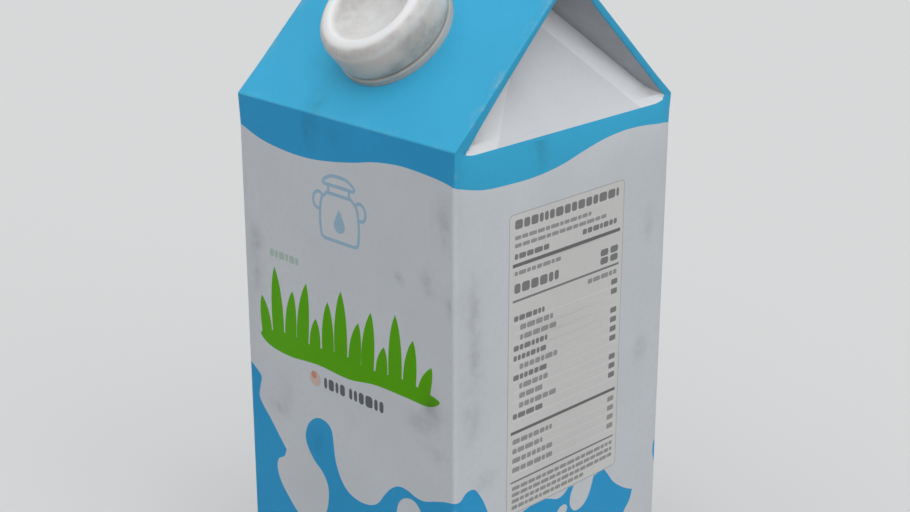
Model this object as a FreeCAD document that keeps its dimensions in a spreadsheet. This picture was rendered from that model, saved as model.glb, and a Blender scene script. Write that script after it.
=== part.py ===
import FreeCAD, Part
import math
import os
import Sketcher

# Gable-top milk carton, shut, with a screw cap on its front roof panel.
# Millimetres, +Z up. The origin is the middle of the base. The front wall faces -Y, the gable ends face +X and -X.

SIZES = [
    # alias, millimetres, what it is
    ("carton_width", 95.0, "outside width of each of the four walls"),
    ("wall_height", 196.0, "base to the eave fold"),
    ("wall_corner_round", 1.2, "radius of the four upright folds"),
    ("base_round", 0.9, "radius of the fold round the base"),
    ("roof_rise", 45.3, "eave fold to the foot of the top fin"),
    ("roof_edge", 2.7, "thickness seen at a roof panel's end, two layers of board lying loosely together"),
    ("gable_tuck", 26.9, "how far in the top of each gable end leans"),
    ("strip_foot", 13.4, "foot of the strip beside each gable fold, along the gable end's base"),
    ("strip_setback", 3.7, "how far behind the wall that strip's outer corner stands"),
    ("fin_height", 14.0, "height of the sealed top fin"),
    ("fin_thickness", 2.4, "four layers of board pressed together"),
    ("collar_lip", 0.3, "how far the collar and its tamper band stand out past the cap's skirt"),
    ("collar_height", 2.4, "roof panel to the top of the collar"),
    ("collar_gap", 0.6, "open groove between collar and cap"),
    ("groove_depth", 1.8, "how far in the groove runs"),
    ("cap_radius", 19.1, "outside of the cap's skirt"),
    ("cap_height", 15.3, "roof panel to the crest of the cap's rim"),
    ("cap_below_middle", 0.5, "cap's axis below the middle of the roof panel, along the slope"),
    ("rim_round", 4.4, "outer radius of the cap's rim"),
    ("lip_round", 3.0, "inner radius of the cap's rim"),
    ("dish_slope", 45.0, "degrees: slope of the dish where it meets the rim"),
]

HALF = "Sizes.carton_width/2"
EAVE = "Sizes.wall_height"
RISE = "Sizes.roof_rise"
SLANT = f"hypot({HALF}; {RISE})"
SLOPE = f"atan2({RISE}; {HALF})"
# The underside of the roof panels: where it meets the eave's level, and how far it rises above the eave.
INNER_HALF = f"({HALF} - Sizes.roof_edge*{SLANT}/{RISE})"
INNER_RISE = f"({RISE} - Sizes.roof_edge*{SLANT}/({HALF}))"
CAP_FOOT = "(Sizes.collar_height + Sizes.collar_gap)"
COLLAR_RADIUS = "(Sizes.cap_radius + Sizes.collar_lip)"


def make_sheet(doc):
    """The spreadsheet of driving sizes."""
    sheet = doc.addObject("Spreadsheet::Sheet", "Sizes")
    for row, (alias, value, note) in enumerate(SIZES, start=1):
        sheet.set(f"A{row}", alias)
        sheet.set(f"B{row}", str(value))
        sheet.set(f"C{row}", note)
        sheet.setAlias(f"B{row}", alias)
    doc.recompute()
    return sheet


def new_sketch(body, name, plane, offset=None):
    """A sketch on one of the body's own planes, moved along its normal by an expression."""
    sketch = body.newObject("Sketcher::SketchObject", name)
    support = next(p for p in body.Origin.OriginFeatures if p.Role == plane)
    sketch.AttachmentSupport = [(support, "")]
    sketch.MapMode = "FlatFace"
    if offset:
        sketch.setExpression("AttachmentOffset.Base.z", offset)
    return sketch


def hold(sketch, geometry, end, across, up):
    """Bind one point of the sketch to two expressions, its distances from the sketch's axes."""
    for kind, axis, text in (("DistanceX", -2, across), ("DistanceY", -1, up)):
        value = float(sketch.evalExpression(text))
        if abs(value) < 1e-9:
            sketch.addConstraint(Sketcher.Constraint("PointOnObject", geometry, end, axis))
            continue
        if value > 0:
            made = Sketcher.Constraint(kind, -1, 1, geometry, end, value)
        else:
            made = Sketcher.Constraint(kind, geometry, end, -1, 1, -value)
            text = f"-({text})"
        sketch.setExpression(f"Constraints[{sketch.addConstraint(made)}]", text)


def add_polygon(sketch, corners):
    """A closed outline of straight lines through corners given as pairs of expressions."""
    points = []
    for across, up in corners:
        points.append(FreeCAD.Vector(float(sketch.evalExpression(across)), float(sketch.evalExpression(up)), 0))
    first = sketch.GeometryCount
    for i, point in enumerate(points):
        sketch.addGeometry(Part.LineSegment(point, points[(i + 1) % len(points)]), False)
    for i, (across, up) in enumerate(corners):
        after = first + (i + 1) % len(points)
        sketch.addConstraint(Sketcher.Constraint("Coincident", first + i, 2, after, 1))
        hold(sketch, first + i, 1, across, up)


def extrude(body, kind, sketch, name, length):
    """A Pad or Pocket, symmetric about its sketch."""
    feature = body.newObject(f"PartDesign::{kind}", name)
    feature.Profile = sketch
    feature.SideType = "Symmetric"
    feature.setExpression("Length", length)
    return feature


def make_gable_core(body):
    """The gable under the roof panels: a ridge whose two ends lean in."""
    profile = new_sketch(body, "GableProfile", "YZ_Plane")
    add_polygon(profile, [
        (f"-{INNER_HALF}", EAVE),
        (INNER_HALF, EAVE),
        ("0", f"{EAVE} + {INNER_RISE}"),
    ])
    extrude(body, "Pad", profile, "GablePad", "Sizes.carton_width")

    # The cutter runs up to the roof's own ridge, well past the core's, on the same leaning plane.
    ends = new_sketch(body, "GableEnds", "XZ_Plane")
    inward = f"({HALF} - Sizes.gable_tuck*{RISE}/{INNER_RISE})"
    for side in ("", "-"):
        add_polygon(ends, [
            (f"{side}({HALF})", EAVE),
            (f"{side}({HALF})", f"{EAVE} + {RISE}"),
            (f"{side}{inward}", f"{EAVE} + {RISE}"),
        ])
    extrude(body, "Pocket", ends, "GableEndPocket", "2*Sizes.carton_width")


def make_fold_strip(body, name, end_side, roof_side):
    """Bevel one hip of the gable: the flat strip that the board makes beside the fold."""
    # The bevel runs along the hip, so its cutter is a triangle in the wall's plane, swept in the hip's direction.
    past = "Sizes.strip_setback/Sizes.gable_tuck"
    outer = f"{INNER_HALF}*(1 + {past})"
    sketch = new_sketch(body, f"{name}Sketch", "YZ_Plane", f"{end_side}*{HALF}")
    add_polygon(sketch, [
        (f"{roof_side}*({INNER_HALF} - Sizes.strip_foot)", EAVE),
        (f"{roof_side}*{outer}", f"{EAVE} - {INNER_RISE}*{past}"),
        (f"{roof_side}*{outer}", f"{EAVE} + Sizes.strip_foot"),
    ])
    pocket = body.newObject("PartDesign::Pocket", name)
    pocket.Profile = sketch
    pocket.UseCustomVector = True
    pocket.AlongSketchNormal = False
    pocket.setExpression("Direction.x", f"-{end_side}*Sizes.gable_tuck")
    pocket.setExpression("Direction.y", f"-{roof_side}*{INNER_HALF}")
    pocket.setExpression("Direction.z", INNER_RISE)
    pocket.setExpression("Length", f"2*{SLANT}")


def make_walls(body):
    """The square box of the four walls, shut and full."""
    sketch = new_sketch(body, "WallSketch", "YZ_Plane")
    add_polygon(sketch, [
        (f"-{HALF}", "0"),
        (HALF, "0"),
        (HALF, EAVE),
        (f"-{HALF}", EAVE),
    ])
    extrude(body, "Pad", sketch, "WallPad", "Sizes.carton_width")


def make_roof(body):
    """Two roof panels the full width of the carton, overhanging the leaning ends."""
    sketch = new_sketch(body, "RoofSketch", "YZ_Plane")
    add_polygon(sketch, [
        (f"-{HALF}", EAVE),
        (f"-{INNER_HALF}", EAVE),
        ("0", f"{EAVE} + {INNER_RISE}"),
        (INNER_HALF, EAVE),
        (HALF, EAVE),
        ("0", f"{EAVE} + {RISE}"),
    ])
    extrude(body, "Pad", sketch, "RoofPad", "Sizes.carton_width")


def make_fin(body):
    """The sealed fin along the ridge."""
    side = "Sizes.fin_thickness/2"
    foot = f"{EAVE} + {RISE} - Sizes.roof_edge"
    top = f"{EAVE} + {RISE} + Sizes.fin_height"
    sketch = new_sketch(body, "FinSketch", "YZ_Plane")
    add_polygon(sketch, [
        (f"-{side}", foot),
        (side, foot),
        (side, top),
        (f"-{side}", top),
    ])
    extrude(body, "Pad", sketch, "FinPad", "Sizes.carton_width")


def round_edges(body, name, chosen, radius):
    """Fillet the edges of the body's last feature that pass a test."""
    base = body.Tip
    edges = [f"Edge{i}" for i, edge in enumerate(base.Shape.Edges, start=1) if chosen(edge)]
    fillet = body.newObject("PartDesign::Fillet", name)
    fillet.Base = (base, edges)
    fillet.setExpression("Radius", radius)


def make_carton(doc, sheet):
    """The folded board carton, one closed solid."""
    body = doc.addObject("PartDesign::Body", "Carton")
    body.Label = "carton"
    make_gable_core(body)
    for number, (end_side, roof_side) in enumerate([(1, 1), (1, -1), (-1, 1), (-1, -1)], start=1):
        make_fold_strip(body, f"FoldStrip{number}", end_side, roof_side)
    make_walls(body)
    make_roof(body)
    make_fin(body)
    doc.recompute()

    half = sheet.get("carton_width") / 2
    eave = sheet.get("wall_height")

    def upright(edge):
        corners = [v.Point for v in edge.Vertexes]
        on_fold = all(abs(abs(p.x) - half) < 1e-6 and abs(abs(p.y) - half) < 1e-6 for p in corners)
        return on_fold and abs(edge.Length - eave) < 1e-6

    def around_base(edge):
        return all(abs(v.Point.z) < 1e-6 for v in edge.Vertexes)

    round_edges(body, "WallCorners", upright, "Sizes.wall_corner_round")
    doc.recompute()
    round_edges(body, "BaseFold", around_base, "Sizes.base_round")
    return body


def set_on_roof(body):
    """Stand a body, made about its own Z axis from its own XY plane, on the middle of the front roof panel."""
    body.Placement = FreeCAD.Placement(FreeCAD.Vector(), FreeCAD.Rotation(FreeCAD.Vector(1, 0, 0), 1))
    up_slope = f"({SLANT}/2 - Sizes.cap_below_middle)"
    body.setExpression("Placement.Rotation.Angle", SLOPE)
    body.setExpression("Placement.Base.y", f"-{HALF} + {up_slope}*cos({SLOPE})")
    body.setExpression("Placement.Base.z", f"{EAVE} + {up_slope}*sin({SLOPE})")


def revolve(body, sketch, name):
    """Turn a half profile about the sketch's upright axis."""
    feature = body.newObject("PartDesign::Revolution", name)
    feature.Profile = sketch
    feature.ReferenceAxis = (sketch, ["V_Axis"])
    feature.Angle = 360


def make_collar(doc):
    """The spout's collar with its tamper band, closed under the cap. The cap sits on its raised middle."""
    body = doc.addObject("PartDesign::Body", "Collar")
    body.Label = "spout_collar"
    sketch = new_sketch(body, "CollarSketch", "XZ_Plane")
    seat = "(Sizes.cap_radius - Sizes.groove_depth)"
    add_polygon(sketch, [
        ("0", "0"),
        (COLLAR_RADIUS, "0"),
        (COLLAR_RADIUS, "Sizes.collar_height"),
        (seat, "Sizes.collar_height"),
        (seat, CAP_FOOT),
        ("0", CAP_FOOT),
    ])
    revolve(body, sketch, "CollarTurn")
    set_on_roof(body)
    return body


def make_cap(doc, sheet):
    """The screw cap: a plain skirt, a fat round rim and a dish in the top."""
    radius = sheet.get("cap_radius")
    top = sheet.get("cap_height")
    foot = sheet.get("collar_height") + sheet.get("collar_gap")
    rim = sheet.get("rim_round")
    lip = sheet.get("lip_round")
    slope = math.radians(sheet.get("dish_slope"))
    crest = radius - rim
    edge = crest - lip * math.sin(slope)
    edge_up = top - lip + lip * math.cos(slope)
    bowl = edge / math.sin(slope)
    bowl_up = edge_up + bowl * math.cos(slope)

    body = doc.addObject("PartDesign::Body", "Cap")
    body.Label = "cap"
    sketch = new_sketch(body, "CapSketch", "XZ_Plane")

    def spot(across, up):
        return FreeCAD.Vector(across, up, 0)

    def arc(centre, round_radius, low, high):
        circle = Part.Circle(centre, FreeCAD.Vector(0, 0, 1), round_radius)
        return Part.ArcOfCircle(circle, low, high)

    right, quarter, down = 0.0, math.pi / 2, -math.pi / 2
    underside, skirt, rim_arc, lip_arc, dish_arc, middle = range(6)
    sketch.addGeometry([
        Part.LineSegment(spot(0, foot), spot(radius, foot)),
        Part.LineSegment(spot(radius, foot), spot(radius, top - rim)),
        arc(spot(crest, top - rim), rim, right, quarter),
        arc(spot(crest, top - lip), lip, quarter, quarter + slope),
        arc(spot(0, bowl_up), bowl, down, down + slope),
        Part.LineSegment(spot(0, bowl_up - bowl), spot(0, foot)),
    ], False)
    start, end, centre = 1, 2, 3
    for rule in (
        ("Coincident", underside, end, skirt, start),
        ("Tangent", skirt, end, rim_arc, start),
        ("Tangent", rim_arc, end, lip_arc, start),
        ("Tangent", lip_arc, end, dish_arc, end),
        ("Coincident", dish_arc, start, middle, start),
        ("Coincident", middle, end, underside, start),
        ("Horizontal", underside),
        ("Vertical", skirt),
        ("PointOnObject", middle, start, -2),
        ("PointOnObject", middle, end, -2),
        ("PointOnObject", dish_arc, centre, -2),
    ):
        sketch.addConstraint(Sketcher.Constraint(*rule))

    hold(sketch, underside, end, "Sizes.cap_radius", CAP_FOOT)
    hold(sketch, rim_arc, end, "Sizes.cap_radius - Sizes.rim_round", "Sizes.cap_height")
    for which, value, alias in ((rim_arc, rim, "rim_round"), (lip_arc, lip, "lip_round")):
        number = sketch.addConstraint(Sketcher.Constraint("Radius", which, value))
        sketch.setExpression(f"Constraints[{number}]", f"Sizes.{alias}")
    number = sketch.addConstraint(Sketcher.Constraint("DistanceX", -1, 1, lip_arc, end, edge))
    sketch.setExpression(
        f"Constraints[{number}]",
        "Sizes.cap_radius - Sizes.rim_round - Sizes.lip_round*sin(Sizes.dish_slope*1deg)",
    )
    revolve(body, sketch, "CapTurn")
    set_on_roof(body)
    return body


def check(doc, bodies):
    """Stop if anything failed to build, before a file is written."""
    for thing in doc.Objects:
        if "Invalid" in thing.State or "Error" in thing.State:
            raise RuntimeError(f"{thing.Name} did not build: {thing.State}")
    for body in bodies:
        if body.Shape.isNull() or not body.Shape.isValid() or len(body.Shape.Solids) != 1:
            raise RuntimeError(f"{body.Label} is not one valid solid")


def main():
    doc = FreeCAD.newDocument("MilkCarton")
    sheet = make_sheet(doc)
    bodies = [make_carton(doc, sheet), make_collar(doc), make_cap(doc, sheet)]
    doc.recompute()
    check(doc, bodies)
    os.makedirs("parts", exist_ok=True)
    for body in bodies:
        body.Shape.exportStep(f"parts/{body.Label}.step")
        box = body.Shape.optimalBoundingBox()
        print(f"{body.Label}: {body.Shape.Volume:.0f} mm3, {box.XLength:.2f} x {box.YLength:.2f} x {box.ZLength:.2f}")


main()
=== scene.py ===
import math
import random

import bpy
import numpy as np
from mathutils import Matrix, Vector
from mathutils.geometry import delaunay_2d_cdt


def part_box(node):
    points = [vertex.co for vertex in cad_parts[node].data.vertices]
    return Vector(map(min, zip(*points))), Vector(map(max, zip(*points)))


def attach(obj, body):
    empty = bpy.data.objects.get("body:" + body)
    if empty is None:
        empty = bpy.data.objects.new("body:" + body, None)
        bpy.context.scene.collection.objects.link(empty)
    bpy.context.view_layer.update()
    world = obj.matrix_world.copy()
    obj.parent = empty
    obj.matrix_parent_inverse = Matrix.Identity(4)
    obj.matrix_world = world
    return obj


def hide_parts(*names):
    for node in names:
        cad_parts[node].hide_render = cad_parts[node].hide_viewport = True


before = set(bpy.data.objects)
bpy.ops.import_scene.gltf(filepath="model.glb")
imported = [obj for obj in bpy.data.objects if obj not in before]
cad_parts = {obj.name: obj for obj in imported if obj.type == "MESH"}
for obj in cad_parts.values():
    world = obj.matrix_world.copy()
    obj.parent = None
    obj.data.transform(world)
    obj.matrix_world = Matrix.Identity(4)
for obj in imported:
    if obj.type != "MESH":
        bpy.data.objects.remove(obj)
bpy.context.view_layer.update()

# A gable-top milk carton with a screw cap. Lengths are millimetres, and metres for floor, lights and camera.
# The front wall faces -Y. Heights on the print are counted down from the eave fold, so they are negative.

MM = 0.001
LOW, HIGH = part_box("carton")
WIDTH = (HIGH.x - LOW.x) / MM
HALF = WIDTH / 2
TOP = HIGH.z / MM
EAVE = 196.0  # the fold between the walls and the roof
FIN_HEIGHT = 14.0
FIN_HALF = 1.2  # half the fin's thickness
RISE = TOP - FIN_HEIGHT - EAVE
SLOPE = math.atan2(RISE, HALF)
SLANT = math.hypot(RISE, HALF)
FRONT, RIGHT, BACK, LEFT = range(4)
AROUND = 4 * WIDTH

CORNER = 1.2  # radius of the upright folds between the walls
EAVE_CORNER = 0.15  # the same where they reach the eave
BASE_ROUND = 0.9  # radius of the fold round the base
CREASE = 0.35  # half the width of the eave fold
FIN_CREASE = 1.0  # the same where the roof turns up into the fin
FIN_EDGE = 0.15  # radius of the fin's upper edges
END_ROUND = 0.8  # radius of the roof panels' folded ends
HEADER = 20.0  # the blue header ends within this height of the eave

GABLE_TOP = 43.0  # the gable ends' peak above the eave
GABLE_TUCK = 26.9  # how far in that peak leans
END_DROP = 2.2  # how far below the eave the ends fold in, away from their corners
DROP_FROM = 43.45  # the distance from an end's middle where that drop begins
DROP_TO = 39.0  # and where it is complete
DROP_STEP = 0.2  # it begins with a step this wide
STEP_PART = 0.7  # that makes this part of it
STRIP_FOOT = 13.4  # width of the strip beside each gable fold
STRIP_SETBACK = 3.7  # how much farther in the fold itself lies
STRIP_SHADING = -0.6  # the strips catch the light as if their setback were this many times as deep
WHITE_TIP_FRONT = 40.2  # how far from its middle an end is white toward the front, just above the eave
WHITE_TIP_BACK = 44.2  # the same toward the back
PEAK_THICKNESS = HALF * (1 - GABLE_TOP / RISE) * math.sin(SLOPE)

GRID = 3.0  # spacing of the board's mesh
STEP = 0.8  # spacing of the points on the print's curves
MERGE = 0.002  # points this close become one
TINY = 1e-6
RANDOM_SEED = 7


# -------- meshes

class Sheet:
    """Patches of surface that become one mesh: points with normals and two masks, faces with their ink."""

    def __init__(self):
        self.patches, self.faces, self.inks = [], [], []
        self.count = 0

    def add(self, points, normals, faces, inks, soil_and_shade=0.0, wear_and_counter_tint=0.0):
        """Join a patch on. points and normals are arrays, faces lists of corner numbers."""
        points, normals = np.reshape(points, (-1, 3)), np.reshape(normals, (-1, 3))
        masks = [np.broadcast_to(np.ravel(mask), len(points)) for mask in (soil_and_shade, wear_and_counter_tint)]
        self.patches.append(np.column_stack([points, normals, *masks]))
        self.faces += [[self.count + corner for corner in face] for face in faces]
        self.inks += [inks] * len(faces) if isinstance(inks, str) else list(inks)
        self.count += len(points)

    def add_grid(self, points, inks, soil_and_shade=0.0, wear_and_counter_tint=0.0, closed=False, shading=None):
        """Join on a grid of points (rows, columns, 3). Its normals are its own, or another grid's."""
        rows, columns = points.shape[:2]
        here = np.arange(rows * columns).reshape(rows, columns)
        beside = np.roll(here, -1, axis=1)
        faces = np.stack([here[:-1], beside[:-1], beside[1:], here[1:]], axis=-1)
        if not closed:
            faces = faces[:, :-1]
        normals = grid_normals(points if shading is None else shading, closed)
        self.add(points, normals, faces.reshape(-1, 4).tolist(), inks, soil_and_shade, wear_and_counter_tint)

    def build(self, name, materials):
        """The object, with points that coincide merged and faces that vanish left out."""
        points, normals, soil_and_shade, wear_and_counter_tint = np.split(np.concatenate(self.patches), (3, 6, 7), axis=1)
        keys = np.round(points / MERGE).astype(np.int64)
        first, merged = np.unique(keys, axis=0, return_index=True, return_inverse=True)[1:]
        merged = merged.ravel()
        names = list(materials)
        faces, inks, loop_normals = [], [], []
        for face, ink in zip(self.faces, self.inks):
            corners = {}
            for corner in face:
                corners.setdefault(int(merged[corner]), corner)
            if len(corners) >= 3:
                faces.append(list(corners))
                inks.append(names.index(ink))
                loop_normals.extend(tuple(normals[corner]) for corner in corners.values())
        mesh = bpy.data.meshes.new(name)
        mesh.from_pydata((points[first] * MM).tolist(), [], faces)
        for material in materials.values():
            mesh.materials.append(material)
        mesh.polygons.foreach_set("material_index", inks)
        mesh.polygons.foreach_set("use_smooth", [True] * len(faces))
        mesh.normals_split_custom_set(loop_normals)
        for mask, values in (("soil_and_shade", soil_and_shade), ("wear_and_counter_tint", wear_and_counter_tint)):
            made = mesh.attributes.new(mask, "FLOAT", "POINT")
            made.data.foreach_set("value", values[first].ravel().astype(np.float32))
        return new_object(name, mesh)


def new_object(name, data):
    made = bpy.data.objects.new(name, data)
    bpy.context.collection.objects.link(made)
    return made


def unit(vectors):
    """The vectors at length one; a zero vector stays zero."""
    length = np.linalg.norm(vectors, axis=-1, keepdims=True)
    return vectors / np.maximum(length, 1e-12)


def grid_normals(points, closed):
    """A normal at each point of a grid whose columns run left to right and rows upward seen from outside."""
    if closed:
        across = np.roll(points, -1, axis=1) - np.roll(points, 1, axis=1)
    else:
        across = np.gradient(points, axis=1)
    normals = np.cross(across, np.gradient(points, axis=0))
    flat = np.linalg.norm(normals, axis=-1) < 1e-9
    for i in range(1, len(points)):
        normals[i][flat[i]] = normals[i - 1][flat[i]]
    return unit(normals)


def smoothstep(low, high, x):
    t = np.clip((x - low) / (high - low), 0, 1)
    return t * t * (3 - 2 * t)


def bend(start, corner, end, steps):
    """Points of a soft fold from start to end round a corner."""
    t = np.linspace(0, 1, steps + 1)[:, None]
    return (1 - t) ** 2 * start + 2 * t * (1 - t) * corner + t ** 2 * end


# -------- walls

BULGE = (0.3, 0.95, 0.4, 0.95)  # of the front, right, back and left wall
BULGE_FADE = 9.0  # how fast the bulge dies away toward the eave
BULGE_RISE = 30.0  # and toward the base
END_ROLL = 0.34  # how far the ends' shading turns upward as they near their fold
END_ROLL_FADE = 8.0  # how fast that dies away downward
END_ROLL_CORNER = 6.0  # within this distance of a corner it is less

SEAM_INSET = 1.6  # from the corner
SEAM = LEFT * WIDTH - SEAM_INSET  # the board's outer edge, on the back wall beside the back left corner
SEAM_STEP = 0.4  # how far it stands out
SEAM_EDGE = 0.5  # the width of its raw edge
SEAM_LAP = 14.0  # the wall swells out to it over this width
SEAM_FOOT = 2.0  # and over this height from the base


def end_drop(across):
    """How far below the eave an end folds in, at a distance from its middle."""
    stepped = DROP_FROM - DROP_STEP
    step = smoothstep(DROP_FROM, stepped, across)
    rest = np.clip((stepped - across) / (stepped - DROP_TO), 0, 1)
    return END_DROP * (STEP_PART * step + (1 - STEP_PART) * rest * (2 - rest))


def gable_lean(height, across):
    """How far in an end leans, past a soft fold, at a height above the eave and some way from its middle."""
    rate = GABLE_TUCK / (GABLE_TOP + END_DROP)
    rise = height + end_drop(across)
    fold = (np.clip(rise, -CREASE, CREASE) + CREASE) ** 2 / (4 * CREASE)
    return rate * np.where(rise > CREASE, rise, fold)


def gable_setback(height):
    """How much farther in the fold beside a roof panel lies."""
    return STRIP_SETBACK * smoothstep(-0.2, 2.6, height)


def wall_of(s):
    """The number of the wall at s, and how far right of its middle s lies."""
    return np.floor(s / WIDTH).astype(int) % 4, s % WIDTH - HALF


def from_corner(s):
    """Distance along the walls from the nearest upright fold."""
    return HALF - np.abs(s % WIDTH - HALF)


def wall_point(s, z):
    """Points of the walls: s runs round them from the front left corner, left to right seen from outside."""
    side, along = wall_of(s)
    is_end = side % 2 == 1
    fold = EAVE - np.where(is_end, end_drop(np.abs(along)), 0)
    swell = (1 - np.exp(-np.maximum(fold - z, 0) / BULGE_FADE)) * (1 - np.exp(-z / BULGE_RISE))
    out = HALF + np.choose(side, BULGE) * np.cos(np.pi * along / WIDTH) * swell
    seam = smoothstep(SEAM - SEAM_LAP, SEAM, s) * (1 - smoothstep(SEAM, SEAM + SEAM_EDGE, s))
    out = out + SEAM_STEP * seam * smoothstep(0, SEAM_FOOT, z)
    out = out - np.where(is_end, gable_lean(z - EAVE, np.abs(along)), 0)
    # Round the upright folds, which close up toward the eave.
    near = from_corner(s)
    radius = CORNER - (CORNER - EAVE_CORNER) * smoothstep(EAVE - 8, EAVE, z)
    flat = CORNER - radius
    run = (1 - np.clip(near / CORNER, 0, 1)) * (flat + radius * np.pi / 4)
    turn = np.maximum(run - flat, 0) / radius
    back = np.where(near >= CORNER, near, np.where(run <= flat, CORNER - run, radius * (1 - np.sin(turn))))
    along = np.sign(along) * (HALF - back)
    out = out - radius * (1 - np.cos(turn))
    # Tuck in the fold round the base.
    drop = np.clip(BASE_ROUND - z, 0, BASE_ROUND)
    tuck = BASE_ROUND - np.sqrt(BASE_ROUND ** 2 - drop ** 2)
    out = out - tuck
    along = along * (1 - tuck / HALF)
    x = np.choose(side, [along, out, -along, -out])
    y = np.choose(side, [-out, along, out, -along])
    return np.stack([x, y, z + 0 * s], axis=-1)


def wall_normal(s, z):
    """Normals of the walls. The ends are shaded as if they turned up toward their fold."""
    step = 0.04
    across = wall_point(np.minimum(s + step, AROUND - TINY), z) - wall_point(np.maximum(s - step, 0), z)
    up = wall_point(s, np.minimum(z + step, EAVE)) - wall_point(s, np.maximum(z - step, 0))
    normals = unit(np.cross(across, up))
    roll = END_ROLL * np.exp((z - EAVE) / END_ROLL_FADE) * smoothstep(0, END_ROLL_CORNER, from_corner(s))
    on_end = wall_of(s)[0] % 2 == 1
    below_fold = normals[..., 2] < 0.4
    normals[..., 2] += np.where(on_end & below_fold, roll, 0)
    return unit(normals)


# -------- outlines of the print

def catmull(points, step, closed=False):
    """A smooth curve through points. A closed one comes round to its first point without repeating it."""
    points = np.array(points, float)
    if closed:
        knots = [points[-1], *points, points[0], points[1]]
    else:
        knots = [2 * points[0] - points[1], *points, 2 * points[-1] - points[-2]]
    path = []
    for a, b, c, d in zip(knots, knots[1:], knots[2:], knots[3:]):
        count = max(2, int(np.linalg.norm(c - b) / step))
        t = np.arange(count)[:, None] / count
        path.extend(0.5 * (2 * b + (c - a) * t + (2 * a - 5 * b + 4 * c - d) * t ** 2
                           + (3 * b - a - 3 * c + d) * t ** 3))
    return path if closed else path + [points[-1]]


def runs(*parts, step=STEP):
    """A line of curved runs that meet in sharp corners. Each starts where the one before it ends."""
    path, corner = [], []
    for part in parts:
        path += catmull(corner + part, step)[len(corner):]
        corner = part[-1:]
    return path


def loop(points):
    """A closed smooth outline through points."""
    return catmull(points, STEP, closed=True)


def mirrored(right):
    """A closed outline from its right half, which runs upward from the middle line and back to it."""
    return right + [(-x, z) for x, z in right[::-1]]


def inset(outline, distance):
    """An outline that runs anticlockwise, moved inward by a distance."""
    ends = np.array(outline)
    along = unit(np.roll(ends, -1, axis=0) - ends)
    along = unit(along + np.roll(along, 1, axis=0))
    return ends + distance * np.stack([-along[:, 1], along[:, 0]], axis=-1)


def arc(x, z, radius, start, end, steps):
    """Points of an arc round x, z, with angles in degrees from the right, turning up."""
    return [(x + radius * math.cos(angle), z + radius * math.sin(angle))
            for angle in np.radians(np.linspace(start, end, steps + 1))]


def bar(x0, z0, x1, z1, rounded=0.0):
    """An upright rectangle, from its low left to its high right corner."""
    if rounded <= 0:
        return [(x0, z0), (x1, z0), (x1, z1), (x0, z1)]
    left, low, right, high = x0 + rounded, z0 + rounded, x1 - rounded, z1 - rounded
    return (arc(right, high, rounded, 0, 90, 3) + arc(left, high, rounded, 90, 180, 3)
            + arc(left, low, rounded, 180, 270, 3) + arc(right, low, rounded, 270, 360, 3))


def oval(x, z, rx, rz, tilt=0.0):
    cos, sin = math.cos(tilt), math.sin(tilt)
    outline = []
    for angle in np.linspace(0, 2 * math.pi, 26, endpoint=False):
        dx, dz = rx * math.cos(angle), rz * math.sin(angle)
        outline.append((x + dx * cos - dz * sin, z + dx * sin + dz * cos))
    return outline


def blade(x, lean, height, width):
    """A blade of grass that stands at x on the ground line, bends over and comes to a point."""
    left, right = [], []
    for t in np.linspace(0, 1, 13):
        centre = x + lean * t ** 1.7
        half = width / 2 * (0.95 + 0.5 * t) * (1 - t ** 2.3) ** 0.85
        left.append((centre - half, height * t))
        right.append((centre + half, height * t))
    return left + right[::-1]


def on_wall(wall, outline, x=0, z=0, scale=1):
    """An outline, scaled and moved, as distances round the walls and heights above the base."""
    return [(wall * WIDTH + HALF + (x + px * scale), EAVE + (z + pz * scale)) for px, pz in outline]


# -------- the print

OVER = 1.0  # areas of ink that cover an edge of the walls run this far past it


def header_wave():
    """The lower edge of the blue header, the same twice round the carton."""
    front = [(-47.5, -9.5), (-37, -12.7), (-26, -14.1), (-15, -14.3), (-5, -13.3), (6, -11.4), (15, -9.4),
             (25, -8.3), (34, -8.5), (42, -9.2)]
    right = [(-47.5, -10.3), (-37, -12.9), (-26, -13.6), (-15, -13.6), (-4, -12.4), (6, -10.2), (15, -8.5),
             (24, -7.7), (33, -7.9), (41, -8.8)]
    points = []
    for wall, line in enumerate((front, right, front, right)):
        points += on_wall(wall, line)
    points.append((AROUND, points[0][1]))
    return runs(points) + [(AROUND, EAVE + OVER), (0, EAVE + OVER)]


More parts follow.
